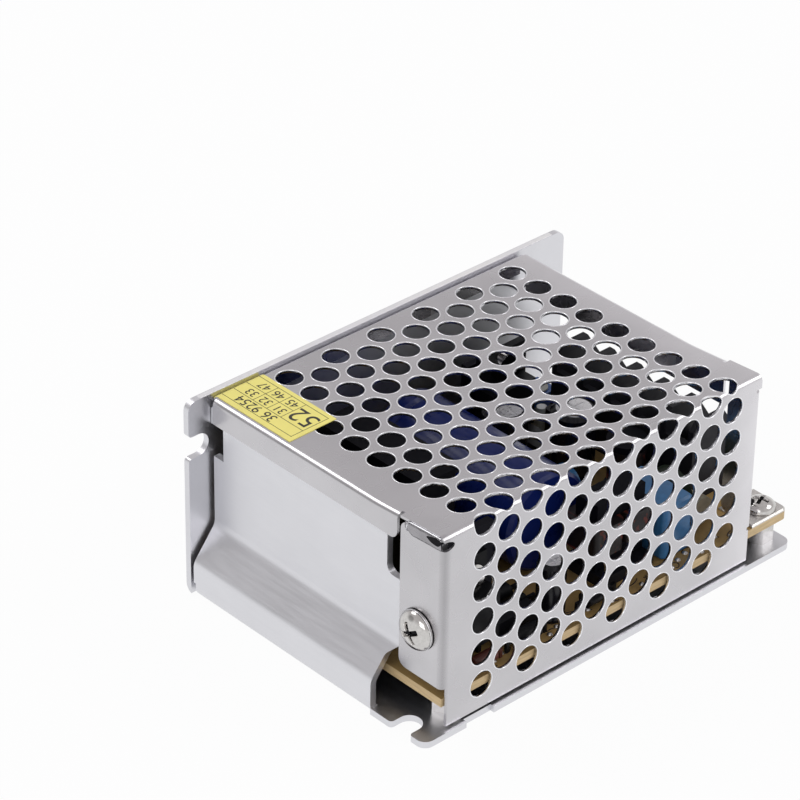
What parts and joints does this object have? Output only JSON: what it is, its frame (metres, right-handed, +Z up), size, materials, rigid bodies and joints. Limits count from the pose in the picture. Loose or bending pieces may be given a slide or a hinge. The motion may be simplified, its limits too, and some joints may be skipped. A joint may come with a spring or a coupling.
{
  "type": "enclosed switching power supply",
  "caption": "Enclosed switching power supply: bent metal chassis, perforated metal cover, circuit board and a screw terminal block at one end.",
  "frame": {"origin": "under the middle of the base, on the surface that it stands on", "axes": "+X toward the terminals, +Y toward the back plate, +Z up"},
  "size_m": [0.085, 0.058, 0.038],
  "materials": {
    "chassis_aluminium": "satin sheet",
    "cover_metal": "smooth, slightly glossy sheet",
    "screw_steel": "bright zinc plate",
    "yellow_label": "printed film",
    "board_laminate": "tan laminate",
    "solder": "solder coat",
    "black_moulding": "moulded",
    "navy_sleeve": "shrunk sleeve",
    "black_sleeve": "shrunk sleeve",
    "light_blue_case": "moulded case",
    "light_blue_dip": "dipped",
    "green_dip": "dipped",
    "brown_dip": "dipped",
    "ferrite": "ground ferrite",
    "copper_wire": "enamelled wire",
    "winding_tape": "wound tape",
    "package_black": "moulded",
    "heatsink_aluminium": "dull",
    "terminal_brass": "tin plate",
    "fuse_tube": "tube with plated caps",
    "resistor_coat": "coated",
    "trimmer_blue": "moulded",
    "rotor_white": "moulded",
    "lamp_clear": "clear moulding, unlit"
  },
  "bodies": {
    "case": {"board_screws": "screw_steel", "bulk_capacitor": "navy_sleeve", "chassis": "chassis_aluminium", "choke_base": "black_moulding", "choke_core": "ferrite", "choke_windings": "copper_wire", "circuit_board": "board_laminate", "controller_capacitor": "black_sleeve", "controller_chip": "package_black", "cover": "cover_metal", "cover_screw": "screw_steel", "diode_heatsink": "heatsink_aluminium", "diode_screw": "screw_steel", "fuse": "fuse_tube", "ground_pad": "solder", "indicator_lamp": "lamp_clear", "inspection_label": "yellow_label", "line_filter_capacitor": "light_blue_case", "optocoupler": "package_black", "output_capacitor_front": "black_sleeve", "output_capacitor_rear": "black_sleeve", "output_choke_core": "ferrite", "output_choke_winding": "copper_wire", "output_diode": "package_black", "rectifier_diodes_front": "package_black", "rectifier_diodes_rear": "package_black", "resistors": "resistor_coat", "snubber_capacitor": "brown_dip", "standoffs": "screw_steel", "switching_transistor": "package_black", "terminal_block": "black_moulding", "terminal_plate_1": "terminal_brass", "terminal_plate_2": "terminal_brass", "terminal_plate_3": "terminal_brass", "terminal_plate_4": "terminal_brass", "terminal_plate_5": "terminal_brass", "thermistor": "green_dip", "transformer_bobbin": "black_moulding", "transformer_core_lower": "ferrite", "transformer_core_upper": "ferrite", "transformer_winding": "winding_tape", "transistor_heatsink": "heatsink_aluminium", "transistor_screw": "screw_steel", "trimmer": "trimmer_blue", "voltage_reference": "package_black", "y_capacitor": "light_blue_dip"},
    "rotor": {"trimmer_rotor": "rotor_white"},
    "washer_1": {"terminal_washer_1": "screw_steel"},
    "screw_1": {"terminal_screw_1": "screw_steel"},
    "washer_2": {"terminal_washer_2": "screw_steel"},
    "screw_2": {"terminal_screw_2": "screw_steel"},
    "washer_3": {"terminal_washer_3": "screw_steel"},
    "screw_3": {"terminal_screw_3": "screw_steel"},
    "washer_4": {"terminal_washer_4": "screw_steel"},
    "screw_4": {"terminal_screw_4": "screw_steel"},
    "washer_5": {"terminal_washer_5": "screw_steel"},
    "screw_5": {"terminal_screw_5": "screw_steel"}
  },
  "joints": [
    {"name": "washer_lift_1", "type": "slide", "parent": "case", "child": "washer_1", "axis": [0, 0, 1], "range_m": [0, 0.0025]},
    {"name": "screw_turn_1", "type": "hinge", "parent": "washer_1", "child": "screw_1", "pos_m": [0.0369, -0.0115, 0.0154], "axis": [0, 0, 1], "range_deg": [0, 1800]},
    {"name": "washer_lift_2", "type": "slide", "parent": "case", "child": "washer_2", "axis": [0, 0, 1], "range_m": [0, 0.0025]},
    {"name": "screw_turn_2", "type": "hinge", "parent": "washer_2", "child": "screw_2", "pos_m": [0.0369, -0.005, 0.0154], "axis": [0, 0, 1], "range_deg": [0, 1800]},
    {"name": "washer_lift_3", "type": "slide", "parent": "case", "child": "washer_3", "axis": [0, 0, 1], "range_m": [0, 0.0025]},
    {"name": "screw_turn_3", "type": "hinge", "parent": "washer_3", "child": "screw_3", "pos_m": [0.0369, 0.0015, 0.0154], "axis": [0, 0, 1], "range_deg": [0, 1800]},
    {"name": "washer_lift_4", "type": "slide", "parent": "case", "child": "washer_4", "axis": [0, 0, 1], "range_m": [0, 0.0025]},
    {"name": "screw_turn_4", "type": "hinge", "parent": "washer_4", "child": "screw_4", "pos_m": [0.0369, 0.008, 0.0154], "axis": [0, 0, 1], "range_deg": [0, 1800]},
    {"name": "washer_lift_5", "type": "slide", "parent": "case", "child": "washer_5", "axis": [0, 0, 1], "range_m": [0, 0.0025]},
    {"name": "screw_turn_5", "type": "hinge", "parent": "washer_5", "child": "screw_5", "pos_m": [0.0369, 0.0145, 0.0154], "axis": [0, 0, 1], "range_deg": [0, 1800]},
    {"name": "trimmer_turn", "type": "hinge", "parent": "case", "child": "rotor", "pos_m": [0.0325, 0.023, 0.0114], "axis": [0, 0, 1], "range_deg": [-130, 130]}
  ],
  "couplings": [
    {"joint": "screw_turn_1", "follows": "washer_lift_1", "rad_per_m": 12566},
    {"joint": "screw_turn_2", "follows": "washer_lift_2", "rad_per_m": 12566},
    {"joint": "screw_turn_3", "follows": "washer_lift_3", "rad_per_m": 12566},
    {"joint": "screw_turn_4", "follows": "washer_lift_4", "rad_per_m": 12566},
    {"joint": "screw_turn_5", "follows": "washer_lift_5", "rad_per_m": 12566}
  ]
}
